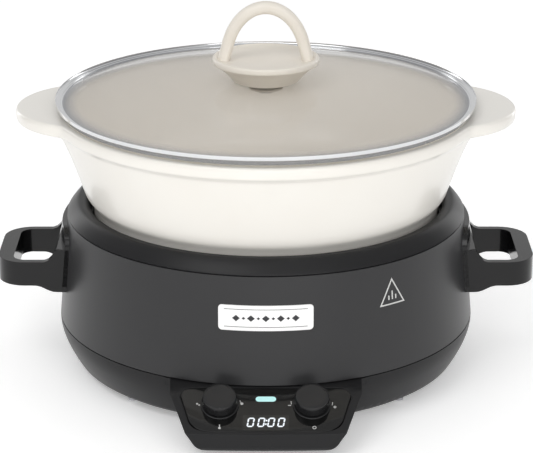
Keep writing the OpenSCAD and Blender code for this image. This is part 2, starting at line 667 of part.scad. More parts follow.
module lid_screw() color("silver") on_axis() {
  rod(2.45, dome_top_z - glass_t - 1.2, 216.5);
  difference() {
    rod(6, dome_top_z - glass_t - 3.6, dome_top_z - glass_t - 1.2);
    for (a = [0, 90]) rotate([0, 0, a])
      translate([-3.4, -0.6, dome_top_z - glass_t - 4.6]) cube([6.8, 1.2, 2]);
  }
}

base_pan();
side_wall();
top_collar();
inner_liner();
heat_plate();
heating_element();
heat_shield();
plate_nuts();
thermal_fuse();
sensor_guide();
sensor_spring();
power_board();
board_components();
board_screws();
wiring();
power_inlet();
inlet_pins();
base_screws();
rubber_feet();
badge_plate();
heat_mark();
left_handle();
right_handle();
handle_screws();
panel_housing();
panel_fascia();
display_window();
display_module();
display_digits();
display_board();
indicator_lens();
panel_icons();
left_knob_ring();
right_knob_ring();
left_encoder();
right_encoder();
encoder_nuts();
left_push_pin();
right_push_pin();
left_shaft();
right_shaft();
left_knob();
right_knob();
sensor_puck();
cooking_pot();
lid_glass();
lid_ring();
lid_handle();
handle_gasket();
lid_washer();
lid_screw();
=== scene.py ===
# %% [markdown]
# # A countertop slow cooker
# The object has four parts that move apart: a charcoal base with a sloped control panel, two
# dials, a cream pot with two ears and a glass lid with an arched handle. The sizes come from
# the CAD frame, which this script loads first and never changes. Pieces that need softer edges
# or finer curves than the frame has are modelled again here, in the same place.

# %% Load the frame
from math import cos, hypot, pi, radians, sin, sqrt

import bmesh
import bpy
from mathutils import Matrix, Vector


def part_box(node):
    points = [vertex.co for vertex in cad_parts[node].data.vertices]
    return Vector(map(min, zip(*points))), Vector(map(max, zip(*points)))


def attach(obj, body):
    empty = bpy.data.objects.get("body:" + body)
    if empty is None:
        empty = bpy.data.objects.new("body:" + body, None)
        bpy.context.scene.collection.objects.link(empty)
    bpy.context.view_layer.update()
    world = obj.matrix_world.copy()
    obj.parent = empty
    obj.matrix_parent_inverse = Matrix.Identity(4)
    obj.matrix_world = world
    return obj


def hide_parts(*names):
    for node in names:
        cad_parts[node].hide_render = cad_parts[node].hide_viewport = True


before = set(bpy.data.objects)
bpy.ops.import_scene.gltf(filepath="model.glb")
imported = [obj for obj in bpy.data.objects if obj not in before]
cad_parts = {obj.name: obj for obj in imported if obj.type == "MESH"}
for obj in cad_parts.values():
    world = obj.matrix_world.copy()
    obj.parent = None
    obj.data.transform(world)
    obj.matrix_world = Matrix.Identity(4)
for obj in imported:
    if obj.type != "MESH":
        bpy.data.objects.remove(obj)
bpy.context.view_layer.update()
MM = 0.001
scene = bpy.context.scene
pot_low, pot_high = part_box("cooking_pot")
POT_AXIS = (pot_low.y + pot_high.y) / 2
print("nodes in the frame:", len(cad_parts), "pot axis at y =", round(POT_AXIS, 5))


def mm(*values):
    """A point or a direction given in millimetres."""
    return Vector([value * MM for value in values])


# %% [markdown]
# ## Camera
# The object is seen from the front and a little above, from far enough away that the ellipses
# of the pot stay calm. A long lens on a camera 1.47 m in front of the pot's axis does that. A
# Track To constraint could aim it, but turning the view direction into a rotation keeps the
# scene free of constraints.

# %% The camera
CAMERA_BACK, CAMERA_Z, AIM_Z = 1.470, 0.6172, 0.0978
camera_data = bpy.data.cameras.new("camera")
camera_data.lens = 144.1
camera_data.sensor_width = 36
camera_data.shift_x = 0.0012
camera = bpy.data.objects.new("camera", camera_data)
camera.location = (0, POT_AXIS - CAMERA_BACK, CAMERA_Z)
aim = Vector((0, POT_AXIS, AIM_Z)) - camera.location
camera.rotation_euler = aim.to_track_quat("-Z", "Y").to_euler()
scene.collection.objects.link(camera)
scene.camera = camera
print("camera looks down by", round(-aim.normalized().z, 3))

# %% [markdown]
# ## Studio
# A white table top, a pale surround and four large soft lights. Glossy dark plastic shows its
# shape almost only through reflections, so the lights are large rectangles: one over the front
# left, one in front, and a narrow one behind each side for the bright lines down the edges.

# %% The floor
floor_mesh = bpy.data.meshes.new("floor")
floor_bm = bmesh.new()
bmesh.ops.create_grid(floor_bm, x_segments=1, y_segments=1, size=6)
floor_bm.to_mesh(floor_mesh)
floor_bm.free()
floor = bpy.data.objects.new("floor", floor_mesh)
scene.collection.objects.link(floor)
print("floor", [round(side, 1) for side in floor.dimensions])


# %% The lights
def softbox(name, place, target, size, power):
    """A rectangular light at place that faces target."""
    data = bpy.data.lights.new(name, "AREA")
    data.shape = "RECTANGLE"
    data.size, data.size_y = size
    data.energy = power
    light = bpy.data.objects.new(name, data)
    light.location = place
    facing = Vector(target) - Vector(place)
    light.rotation_euler = facing.to_track_quat("-Z", "Y").to_euler()
    scene.collection.objects.link(light)


softbox("key_light", (-0.9, -1.3, 1.9), (0, 0, 0.1), (1.3, 1.0), 11)
softbox("front_light", (0.5, -2.2, 1.0), (0, 0, 0.12), (1.8, 1.0), 13)
softbox("left_strip", (-1.1, 1.2, 0.4), (0, 0, 0.12), (0.3, 1.2), 3)
softbox("right_strip", (1.1, 1.2, 0.4), (0, 0, 0.12), (0.3, 1.2), 3)

# %% [markdown]
# The surround is white in front, behind and above, and grey to the left and right. Round dark
# shapes then get darker towards their sides, and keep a light line at their very edges, where
# they reflect what is behind them.

# %% The surround
world = bpy.data.worlds.new("studio")
world.use_nodes = True
sky = world.node_tree
surround = sky.nodes["Background"]
direction = sky.nodes.new("ShaderNodeTexCoord")
split = sky.nodes.new("ShaderNodeSeparateXYZ")
sideways = sky.nodes.new("ShaderNodeMath")
sideways.operation = "ABSOLUTE"
shade = sky.nodes.new("ShaderNodeValToRGB")
shade.color_ramp.elements[0].position = 0.35
shade.color_ramp.elements[0].color = (1, 1, 1, 1)
shade.color_ramp.elements[1].position = 0.85
shade.color_ramp.elements[1].color = (0.4, 0.4, 0.41, 1)
sky.links.new(direction.outputs["Generated"], split.inputs[0])
sky.links.new(split.outputs[0], sideways.inputs[0])
sky.links.new(sideways.outputs[0], shade.inputs[0])
sky.links.new(shade.outputs[0], surround.inputs["Color"])
surround.inputs["Strength"].default_value = 0.72
scene.world = world
scene.view_settings.view_transform = "Standard"

# %% [markdown]
# ## Writing shaders as sums
# A finish is a few noises added and multiplied. Placing Math nodes by hand hides the sum, so a
# small class wraps a socket and lets Python's own signs add the nodes.


# %% A value in a shader
class Wire:
    """A socket's value. Sums on it add Math nodes."""

    def __init__(self, finish, socket):
        self.finish, self.socket = finish, socket

    def maths(self, operation, *values):
        return self.finish.node("Math", {"operation": operation}, dict(enumerate(values)))

    def __add__(self, other):
        return self.maths("ADD", self, other)

    def __sub__(self, other):
        return self.maths("SUBTRACT", self, other)

    def __rsub__(self, other):
        return self.maths("SUBTRACT", other, self)

    def __mul__(self, other):
        return self.maths("MULTIPLY", self, other)

    __radd__, __rmul__ = __add__, __mul__


# %% A finish
def linear(level):
    """A screen level from 0 to 255 as the light it stands for."""
    level /= 255
    return level / 12.92 if level < 0.04045 else ((level + 0.055) / 1.055) ** 2.4


def tone(red, green, blue):
    return (linear(red), linear(green), linear(blue), 1)


class Finish:
    """The material of one slot of the record, rebuilt from nodes."""

    def __init__(self, slot, **constants):
        self.material = bpy.data.materials.get(slot) or bpy.data.materials.new(slot)
        self.material.use_nodes = True
        self.tree = self.material.node_tree
        self.tree.nodes.clear()
        self.shader = self.tree.nodes.new("ShaderNodeBsdfPrincipled")
        output = self.tree.nodes.new("ShaderNodeOutputMaterial")
        self.tree.links.new(self.shader.outputs[0], output.inputs[0])
        self.place = self.node("TexCoord", {}, {}, "Object")
        for name, value in constants.items():
            self.feed(self.shader.inputs[name.replace("_", " ")], value)

    def feed(self, socket, value):
        if isinstance(value, Wire):
            self.tree.links.new(value.socket, socket)
        else:
            socket.default_value = value

    def node(self, kind, settings, inputs, output=0):
        node = self.tree.nodes.new("ShaderNode" + kind)
        for name, value in settings.items():
            setattr(node, name, value)
        for name, value in inputs.items():
            self.feed(node.inputs[name], value)
        return Wire(self, node.outputs[output])

    def noise(self, size, detail=2, place=None):
        """Soft random values, with lumps of about size millimetres."""
        inputs = {"Vector": place or self.place, "Scale": 1 / (size * MM), "Detail": detail}
        return self.node("TexNoise", {}, inputs)

    def blend(self, factor, first, second):
        """A colour between two colours."""
        return self.node("Mix", {"data_type": "RGBA"}, {0: factor, 6: first, 7: second}, 2)

    def centred(self):
        """The place measured from the pot's axis, and its distance from that axis."""
        place = self.node("VectorMath", {"operation": "SUBTRACT"}, {0: self.place, 1: (0, POT_AXIS, 0)})
        flat = self.node("VectorMath", {"operation": "MULTIPLY"}, {0: place, 1: (1, 1, 0)})
        return place, self.node("VectorMath", {"operation": "LENGTH"}, {0: flat}, "Value")

    def bump(self, height, depth):
        """Gives the surface a relief of depth millimetres."""
        inputs = {"Height": height, "Distance": depth * MM, "Strength": 1}
        self.feed(self.shader.inputs["Normal"], self.node("Bump", {}, inputs))


# %% [markdown]
# ## Moulded and painted finishes
# The skirt, collar and panel are moulded in charcoal plastic with a fine spark-eroded grain.
# One noise makes the grain's relief, a wider one moves the colour and the gloss a little, as
# flow in the mould does. The metal wall is painted, so it gets the wider, shallower lumps of
# sprayed paint instead. The same recipe with other numbers serves every plastic and rubber.


# %% Plastics, paint and rubber
def moulded(slot, dark, light, gloss, grain, depth, **constants):
    """Grained plastic: dark and light colours, rough range gloss, grain size and depth."""
    finish = Finish(slot, **constants)
    flow = finish.noise(38, 3)
    speck = finish.noise(grain, 2)
    finish.feed(finish.shader.inputs["Base Color"], finish.blend(flow * 0.7 + speck * 0.3, dark, light))
    finish.feed(finish.shader.inputs["Roughness"], gloss[0] + (gloss[1] - gloss[0]) * flow)
    finish.bump(speck, depth)


moulded("housing_plastic", tone(32, 32, 33), tone(40, 40, 41), (0.32, 0.40), 0.45, 0.010, IOR=1.28)
moulded("wall_paint", tone(47, 47, 48), tone(53, 53, 54), (0.30, 0.38), 1.2, 0.005, IOR=1.38)
moulded("handle_plastic", tone(16, 16, 17), tone(21, 21, 22), (0.13, 0.19), 2.0, 0.004, IOR=1.4)
moulded("panel_gloss", tone(13, 13, 13), tone(18, 18, 18), (0.04, 0.07), 6.0, 0.002, IOR=1.4)
moulded("knob_plastic", tone(26, 26, 27), tone(33, 33, 34), (0.22, 0.30), 0.4, 0.008, IOR=1.42)
moulded("component_dark", tone(34, 34, 38), tone(52, 52, 56), (0.4, 0.6), 1.5, 0.01)
moulded("board_green", tone(18, 84, 46), tone(30, 104, 60), (0.3, 0.5), 2.5, 0.01)
moulded("wire_insulation", tone(150, 30, 24), tone(190, 46, 36), (0.4, 0.55), 1.0, 0.01)
moulded("inlet_plastic", tone(24, 24, 25), tone(34, 34, 35), (0.4, 0.5), 0.5, 0.012)
moulded("foot_rubber", tone(30, 30, 30), tone(46, 46, 46), (0.7, 0.85), 0.7, 0.03)
moulded("gasket_silicone", tone(206, 202, 194), tone(222, 218, 210), (0.5, 0.6), 1.2, 0.01)
moulded("fuse_ceramic", tone(214, 200, 170), tone(236, 224, 200), (0.6, 0.75), 0.8, 0.02)
moulded("window_smoke", tone(12, 12, 13), tone(16, 16, 17), (0.03, 0.06), 9.0, 0.001)
moulded("badge_white", tone(246, 246, 244), tone(252, 252, 251), (0.18, 0.26), 5.0, 0.003)
moulded("mark_grey", tone(196, 196, 194), tone(214, 214, 212), (0.5, 0.6), 0.5, 0.004)
moulded("icon_grey", tone(190, 190, 188), tone(216, 216, 214), (0.4, 0.5), 0.5, 0.002)
print("plastic, paint and rubber finishes made")

# %% [markdown]
# ## Cream enamel and cream resin
# The pot is coated with a hard cream glaze that pools a little: the colour is even, the gloss
# is high under a clear coat, and the reflections waver because the glaze is not quite flat. A
# few faint specks keep it from looking like plastic. The lid's handle is resin of nearly the
# same cream, softer in its shine, so it has no clear coat.

# %% Cream finishes
enamel = Finish("pot_enamel", Coat_Weight=0.45, Coat_Roughness=0.08, Coat_IOR=1.45)
pooling = enamel.noise(55, 2)
pinholes = enamel.noise(0.9, 1)
enamel_colour = enamel.blend(pooling, tone(238, 234, 226), tone(243, 240, 233))
enamel.feed(enamel.shader.inputs["Base Color"], enamel_colour)
enamel.feed(enamel.shader.inputs["Roughness"], 0.30 + pooling * 0.06)
enamel.bump(pooling * 0.8 + pinholes * 0.02, 0.025)

resin = Finish("grip_cream", IOR=1.45)
clouding = resin.noise(16, 2)
satin = resin.noise(0.5, 2)
resin.feed(resin.shader.inputs["Base Color"], resin.blend(clouding, tone(231, 224, 212), tone(238, 232, 222)))
resin.feed(resin.shader.inputs["Roughness"], 0.3 + clouding * 0.12)
resin.bump(satin, 0.006)
print("cream finishes made")

# %% [markdown]
# ## Metals
# The lid's ring is polished, with fine lines that run round it from the polishing wheel. The
# liner and the hot plate are drawn and cast aluminium, duller and turned on a lathe. In all of
# them a noise stretched along circles about the pot's axis makes the lines: it reads only the
# distance from the axis and the height, so every line is a ring.


# %% Turned and drawn metals
def metal(slot, dark, light, gloss, line, depth, turned=True):
    """Metal with fine lines, in rings about the pot's axis when turned."""
    finish = Finish(slot, Metallic=1.0)
    place = finish.place
    if turned:
        centred, radius = finish.centred()
        height = finish.node("SeparateXYZ", {}, {0: centred}, 2)
        place = finish.node("CombineXYZ", {}, {0: radius, 1: height})
    lines = finish.noise(line, 3, place)
    haze = finish.noise(30, 3)
    finish.feed(finish.shader.inputs["Base Color"], finish.blend(haze, dark, light))
    rough_share = lines * 0.6 + haze * 0.4
    finish.feed(finish.shader.inputs["Roughness"], gloss[0] + (gloss[1] - gloss[0]) * rough_share)
    finish.bump(lines, depth)


metal("ring_steel", tone(214, 215, 217), tone(228, 229, 230), (0.08, 0.18), 0.35, 0.002)
metal("cast_aluminium", tone(176, 176, 178), tone(200, 200, 202), (0.3, 0.45), 0.6, 0.01)
metal("liner_aluminium", tone(160, 160, 162), tone(184, 184, 186), (0.25, 0.4), 0.8, 0.006)
metal("element_steel", tone(92, 86, 82), tone(124, 116, 110), (0.4, 0.6), 1.5, 0.01, False)
metal("screw_steel", tone(160, 160, 164), tone(190, 190, 194), (0.25, 0.4), 0.5, 0.005, False)
metal("spring_steel", tone(170, 170, 174), tone(196, 196, 200), (0.2, 0.3), 0.4, 0.003, False)
metal("pin_brass", tone(206, 170, 96), tone(226, 194, 120), (0.18, 0.3), 0.5, 0.003, False)
print("metal finishes made")

# %% [markdown]
# ## Glass and lights
# Glass that really bends light would need many samples to show the pot under it, and a sheet
# this thin hardly bends what is seen through it. So the lid is a nearly transparent skin whose
# opacity rises where one looks along the sheet, with a hard clear gloss on it. Close to the
# ring the sheet is greyer and less clear all round. The digits and the indicator shine by
# themselves.

# %% Lid glass, digits and indicator
BORDER_START, BORDER_FULL = 0.134, 0.1435
glass = Finish("lid_glass", Roughness=0.03, IOR=1.5, Specular_IOR_Level=0.6)
facing = glass.node("LayerWeight", {}, {"Blend": 0.35}, "Facing")
smear = glass.noise(60, 2)
border_range = {"Value": glass.centred()[1], "From Min": BORDER_START, "From Max": BORDER_FULL}
border = glass.node("MapRange", {}, border_range)
glass_colour = glass.blend(border, tone(234, 226, 216), tone(150, 153, 158))
glass.feed(glass.shader.inputs["Base Color"], glass_colour)
glass.feed(glass.shader.inputs["Alpha"], 0.12 + facing * 0.24 + smear * 0.03 + border * 0.34)
glass.material.surface_render_method = "BLENDED"


def lit(slot, colour, strength):
    """A surface that shines, a little unevenly, as light through a diffuser does."""
    finish = Finish(slot, Base_Color=tone(58, 62, 64), Roughness=0.4, Emission_Strength=strength)
    patch = finish.noise(3, 1)
    dim = tuple(value * 0.86 for value in colour[:3]) + (1,)
    finish.feed(finish.shader.inputs["Emission Color"], finish.blend(patch, dim, colour))


lit("digit_light", tone(240, 246, 252), 1.15)
lit("indicator_light", tone(196, 252, 250), 0.95)
print("glass and lit finishes made")

# %% [markdown]
# ## Making meshes
# Most pieces are turned on the pot's axis, or are flat outlines given a thickness. Both start
# from a ring of corners joined by edges, some of them rounded with a vertex bevel. Turning
# uses the spin operator, and thickness uses an extrusion whose rim is then bevelled.


# %% Outlines
def outline(bm, corners, place, segments=5):
    """Joins corners into a closed ring of edges. A corner's third number, in mm, rounds it."""
    verts = [bm.verts.new(place(corner[0], corner[1])) for corner in corners]
    for pair in zip(verts, verts[1:] + verts[:1]):
        bm.edges.new(pair)
    for vert, corner in zip(verts, corners):
        if len(corner) > 2:
            bmesh.ops.bevel(bm, geom=[vert], offset=corner[2] * MM, offset_type="OFFSET",
                            segments=segments, profile=0.5, affect="VERTICES", material=-1)


def bezier(p0, p1, p2, p3, steps=10):
    """Points on a smooth curve from p0 to p3, pulled towards p1 and p2."""
    points = []
    for i in range(steps + 1):
        t = i / steps
        shares = ((1 - t) ** 3, 3 * t * (1 - t) ** 2, 3 * t * t * (1 - t), t ** 3)
        points.append(tuple(sum(s * p[k] for s, p in zip(shares, (p0, p1, p2, p3))) for k in (0, 1)))
    return points


# %% Turning and thickening
ON_POT_AXIS = Matrix.Translation((0, POT_AXIS, 0))
FULL_STEPS = 240


def turned(corners, place=ON_POT_AXIS, steps=FULL_STEPS):
    """A mesh of revolution: corners are (radius, height) or (radius, height, rounding)."""
    bm = bmesh.new()
    outline(bm, corners, lambda radius, height: mm(radius, 0, height))
    bmesh.ops.spin(bm, geom=bm.verts[:] + bm.edges[:], cent=(0, 0, 0), axis=(0, 0, 1),
                   angle=2 * pi, steps=steps, use_merge=True)
    bmesh.ops.remove_doubles(bm, verts=bm.verts, dist=1e-6)
    along_axis = [edge for edge in bm.edges if not edge.link_faces]
    bmesh.ops.delete(bm, geom=along_axis, context="EDGES")
    bmesh.ops.recalc_face_normals(bm, faces=bm.faces)
    bmesh.ops.transform(bm, matrix=place, verts=bm.verts)
    return bm


def bevel_edges(bm, edges, size, segments=3):
    bmesh.ops.bevel(bm, geom=edges, offset=size * MM, offset_type="OFFSET", segments=segments,
                    profile=0.5, affect="EDGES", material=-1, clamp_overlap=True)


def sharp_edges(bm, above, where):
    """Outward edges sharper than above degrees whose middle passes the test where."""
    chosen = []
    for edge in bm.edges:
        if edge.is_manifold and edge.is_convex and edge.calc_face_angle(0) > radians(above):
            if where((edge.verts[0].co + edge.verts[1].co) / 2 / MM):
                chosen.append(edge)
    return chosen


def top_rim(bm, height):
    """The edges round the flat top at a height."""
    at_top = [e for e in bm.edges if all(abs(v.co.z - height * MM) < 1e-7 for v in e.verts)]
    return [e for e in at_top if e.calc_face_angle(0) > 0.5]


def cut_across(bm, places):
    """Cuts the faces at each x of places, so that the mesh can bend there."""
    for x in places:
        bmesh.ops.bisect_plane(bm, geom=bm.verts[:] + bm.edges[:] + bm.faces[:],
                               plane_co=mm(x, 0, 0), plane_no=(1, 0, 0))


def thicken(bm, low, high):
    """Extrudes the flat faces at height low up to height high."""
    raised = bmesh.ops.extrude_face_region(bm, geom=bm.faces[:])["geom"]
    tops = [part for part in raised if isinstance(part, bmesh.types.BMVert)]
    bmesh.ops.translate(bm, verts=tops, vec=mm(0, 0, high - low))
    bmesh.ops.recalc_face_normals(bm, faces=bm.faces)


def slab(corners, low, high, edge=0.3, cuts=(), segments=5):
    """A plate with the outline of corners between two heights, its upper rim rounded."""
    bm = bmesh.new()
    outline(bm, corners, lambda x, y: mm(x, y, low), segments)
    bmesh.ops.edgeloop_fill(bm, edges=bm.edges[:])
    cut_across(bm, cuts)
    thicken(bm, low, high)
    if edge:
        bevel_edges(bm, top_rim(bm, high), edge)
    return bm


# %% From a mesh to a piece that rides on a body
SHARP = radians(32)


def piece(name, bm, body, slot, stands_for=(), weighted=True):
    """Makes an object of bm with the slot's material, shades it smooth up to SHARP, puts it on its body and
    hides the frame nodes that it stands for.
    """
    for face in bm.faces:
        face.smooth = True
    for edge in bm.edges:
        edge.smooth = edge.calc_face_angle(0) < SHARP
    open_edges = sum(1 for edge in bm.edges if not edge.is_manifold)
    mesh = bpy.data.meshes.new(name)
    bm.to_mesh(mesh)
    bm.free()
    mesh.materials.append(bpy.data.materials[slot])
    made = bpy.data.objects.new(name, mesh)
    scene.collection.objects.link(made)
    if weighted:
        made.modifiers.new("even_normals", "WEIGHTED_NORMAL").keep_sharp = True
    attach(made, body)
    if stands_for:
        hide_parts(*stands_for)
    print(f"{name}: {len(mesh.polygons)} faces, {open_edges} open edges, rides on {body}")


# %% [markdown]
# ## Side wall and collar
# The wall is a rolled sheet that leans in by a few degrees, and the collar is a moulded ring
# that clips over it. On the real thing a hairline gap shows between them and above the skirt.
# Two turned profiles with small rounded edges give that line a true shadow, which a painted
# line would not.

# %% Side wall
wall_low, wall_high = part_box("side_wall")
WALL_FOOT, WALL_FOOT_Z = wall_high.x / MM, wall_low.z / MM
WALL_TOP, WALL_TOP_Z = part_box("top_collar")[1].x / MM, wall_high.z / MM
JOINT_GAP = 0.45


def wall_radius(height):
    """Outer radius of the side wall at a height, in mm."""
    share = (height - WALL_FOOT_Z) / (WALL_TOP_Z - WALL_FOOT_Z)
    return WALL_FOOT + (WALL_TOP - WALL_FOOT) * share


wall_profile = [
    (wall_radius(WALL_FOOT_Z + JOINT_GAP), WALL_FOOT_Z + JOINT_GAP, 0.5),
    (wall_radius(WALL_TOP_Z - 0.1), WALL_TOP_Z - 0.1, 0.35),
    (WALL_TOP - 1.5, WALL_TOP_Z - 0.1), (WALL_FOOT - 1.5, WALL_FOOT_Z + JOINT_GAP),
]
piece("painted_wall", turned(wall_profile), "base", "wall_paint", ["side_wall"])

# %% Collar
COLLAR_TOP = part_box("top_collar")[1].z / MM
collar_foot = WALL_TOP_Z + 0.35
collar_profile = bezier((WALL_TOP, collar_foot + 0.5), (WALL_TOP, collar_foot + 1),
                        (WALL_TOP - 6.5, COLLAR_TOP), (WALL_TOP - 9.1, COLLAR_TOP), 14)
collar_profile += bezier((132, COLLAR_TOP), (129.9, COLLAR_TOP),
                         (128, COLLAR_TOP - 1.6), (128, COLLAR_TOP - 3.8), 8)
collar_profile += [
    (127.6, 110.1, 0.5), (129.4, 110.1, 0.5), (130.4, 118.5), (134.6, 120.4), (140.7, 114.5),
    (140.4, 109), (142.2, 109), (142.3, collar_foot), (WALL_TOP - 0.45, collar_foot)
]
piece("moulded_collar", turned(collar_profile), "base", "housing_plastic", ["top_collar"])

# %% [markdown]
# ## Skirt and panel housing
# These two have openings, vents and bosses that the frame already cuts exactly, so each is a
# copy of its frame mesh with the loose triangles merged. The skirt's flat areas are joined as
# well. The panel housing's front is bowed back a little towards its sides, which needs cuts
# across its flat faces first, because only vertices can move.


# %% Copies of frame meshes
def merged_copy(node):
    """A copy of a frame node's mesh whose triangles share their corners."""
    bm = bmesh.new()
    bm.from_mesh(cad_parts[node].data)
    bmesh.ops.remove_doubles(bm, verts=bm.verts, dist=2e-6)
    return bm


skirt = merged_copy("base_pan")
bmesh.ops.dissolve_limit(skirt, angle_limit=radians(0.4), use_dissolve_boundaries=False,
                         verts=skirt.verts, edges=skirt.edges)
piece("skirt_and_floor", skirt, "base", "housing_plastic", ["base_pan"])

# %% Panel housing
BOW, BOW_HALF_W, BOW_DEPTH = 1.6, 46, 12
housing = merged_copy("panel_housing")
front_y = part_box("panel_housing")[0].y
cut_across(housing, range(-40, 41, 10))
for vert in housing.verts:
    near_front = max(0, 1 - (vert.co.y - front_y) / (BOW_DEPTH * MM))
    vert.co.y += BOW * MM * near_front * (vert.co.x / (BOW_HALF_W * MM)) ** 2
piece("panel_housing_soft", housing, "base", "housing_plastic", ["panel_housing"])

# %% [markdown]
# ## The panel's face
# A glossy smoked plate lies in a shallow recess, with a hairline gap all round. It is drawn in
# its own flat frame, x to the right and y up the slope, and a matrix lays it on the slope. The
# display window, the light pipe and the dials use the same matrix.

# %% The sloped frame
SLOPE = radians(27)
# The slope's upper end is this far in front of the pot's axis, and this high, in mm.
FACE_FORWARD, FACE_TOP = 150, 36.3
face_start = Matrix.Translation((0, POT_AXIS - FACE_FORWARD * MM, FACE_TOP * MM))
ON_FACE = face_start @ Matrix.Rotation(SLOPE, 4, "X")


def laid_on_face(bm, x=0, y=0):
    """Lays a flat mesh on the slope, its own zero at x and y."""
    bmesh.ops.transform(bm, matrix=ON_FACE @ Matrix.Translation(mm(x, y, 0)), verts=bm.verts)
    return bm


plate_corners = [(-58.9, -1.8, 8.4), (58.9, -1.8, 8.4), (48.8, -38.2, 10.6), (-48.8, -38.2, 10.6)]
plate = slab(plate_corners, -2.1, 0, 0.35, segments=8)
piece("smoked_plate", laid_on_face(plate), "base", "panel_gloss", ["panel_fascia"])

# %% Display window and light pipe
WINDOW_HALF_W, WINDOW_LOW, WINDOW_HIGH = 15.4, -36.8, -24.4
window_corners = [(-WINDOW_HALF_W, WINDOW_LOW, 1), (WINDOW_HALF_W, WINDOW_LOW, 1),
                  (WINDOW_HALF_W, WINDOW_HIGH, 1), (-WINDOW_HALF_W, WINDOW_HIGH, 1)]
window = slab(window_corners, -1, 0.04, 0)
piece("smoked_window", laid_on_face(window), "base", "window_smoke", ["display_window"])
PIPE_HALF_W, PIPE_LOW, PIPE_HIGH = 6.85, -12.95, -8.65
pipe_corners = [(-PIPE_HALF_W, PIPE_LOW, 2.1), (PIPE_HALF_W, PIPE_LOW, 2.1),
                (PIPE_HALF_W, PIPE_HIGH, 2.1), (-PIPE_HALF_W, PIPE_HIGH, 2.1)]
pipe = slab(pipe_corners, -2.2, 0.25, 0.2)
piece("light_pipe", laid_on_face(pipe), "base", "indicator_light", ["indicator_lens"])

# %% [markdown]
# ## Lit digits
# The clock shows four zeros of six straight segments each, leaning a little to the right. Each
# segment is a bar with pointed ends, so that neighbours meet at a mitre with a hairline
# between them. All bars start as flat faces and are thickened together.

# %% Digits
DIGIT_H, DIGIT_W, BAR = 7.8, 4.7, 0.5
DIGIT_LEFTS = (-13.0, -6.0, 0.6, 7.3)
MITRE_GAP, DIGIT_THICK, LEAN = 0.12, 0.16, 0.16
COLON_X, DOT_R = -0.4, 0.62
DIGITS_Y = -34.5


def bar(bm, start, end):
    """A flat bar with pointed ends from start to end."""
    a, b = Vector(start), Vector(end)
    along = (b - a).normalized() * BAR
    across = Vector((-along.y, along.x))
    points = (a, a + along - across, b - along - across, b, b - along + across, a + along + across)
    bm.faces.new([bm.verts.new(mm(p.x, p.y, 0)) for p in points])


digits = bmesh.new()
for left in DIGIT_LEFTS:
    x0, x1, y0, y1 = left + BAR, left + DIGIT_W - BAR, BAR, DIGIT_H - BAR
    half, gap = DIGIT_H / 2, MITRE_GAP
    bar(digits, (x0 + gap, y0), (x1 - gap, y0))
    bar(digits, (x0 + gap, y1), (x1 - gap, y1))
    for x in (x0, x1):
        bar(digits, (x, y0 + gap), (x, half - gap))
        bar(digits, (x, half + gap), (x, y1 - gap))
for height in (2.4, 5.4):
    bmesh.ops.create_circle(digits, cap_ends=True, radius=DOT_R * MM, segments=20,
                            matrix=Matrix.Translation(mm(COLON_X, height, 0)))
thicken(digits, 0, DIGIT_THICK)
lean = Matrix.Identity(4)
lean[0][1] = LEAN
bmesh.ops.transform(digits, matrix=lean, verts=digits.verts)
piece("lit_digits", laid_on_face(digits, 0, DIGITS_Y), "base", "digit_light", ["display_digits"],
      weighted=False)

# %% [markdown]
# ## Dials
# Each dial is a low cap with a softly rounded crown over a narrower neck, and it stands in a
# fixed ring on the panel. The cap turns and presses, the ring doesn't, so they are separate
# pieces on separate bodies. Both are turned profiles.

# %% Dials and their rings
KNOB_X, KNOB_Y = 30.8, -15.6
DIAL_STEPS = 96
cap_profile = [
    (0, 9.5), (6, 9.55), (9.6, 9.8, 1.2), (11.1, 9.35, 0.8), (11.55, 7.6, 0.8),
    (11.8, 2.4, 0.3), (9.4, 2.2, 0.2), (9.2, 4.4), (3.02, 4.4), (3.02, 8.4), (0, 8.4)
]
ring_profile = [(9.6, 0.02), (12.9, 0.02), (12.9, 1.2, 0.45), (12.0, 1.25, 0.2), (9.6, 1.2, 0.2)]
for side, x in (("left", -KNOB_X), ("right", KNOB_X)):
    place = ON_FACE @ Matrix.Translation(mm(x, KNOB_Y, 0))
    cap, ring = turned(cap_profile, place, DIAL_STEPS), turned(ring_profile, place, DIAL_STEPS)
    piece(f"{side}_dial_cap", cap, f"{side}_dial", "knob_plastic", [f"{side}_knob"])
    piece(f"{side}_dial_ring", ring, "base", "knob_plastic", [f"{side}_knob_ring"])

# %% [markdown]
# ## The pot
# The pot is one casting: a straight band that sits in the collar, a soft shoulder, a flaring
# wall, a thick rim and two ears. It could be a turned body with two ears added by a boolean,
# but then the ears meet the wall in a hard line. Instead the whole pot is turned, and the
# points of its rim are drawn outwards where the ears are, which keeps every transition soft.

# %% Pot profile
RIM_TOP = pot_high.z / MM
RIM_R = 151.2
SHOULDER_R, SHOULDER_Z, FLARE = 131.2, 131.4, 0.339


def flare_radius(height):
    return SHOULDER_R + FLARE * (height - SHOULDER_Z)


def even(first, last, count):
    """Evenly spaced points after first, up to and with last."""
    return [tuple(a + (b - a) * i / count for a, b in zip(first, last)) for i in range(1, count + 1)]


def with_share(points, share):
    """Profile points that all take the same share of the ear's reach."""
    return [(radius, height, share) for radius, height in points]


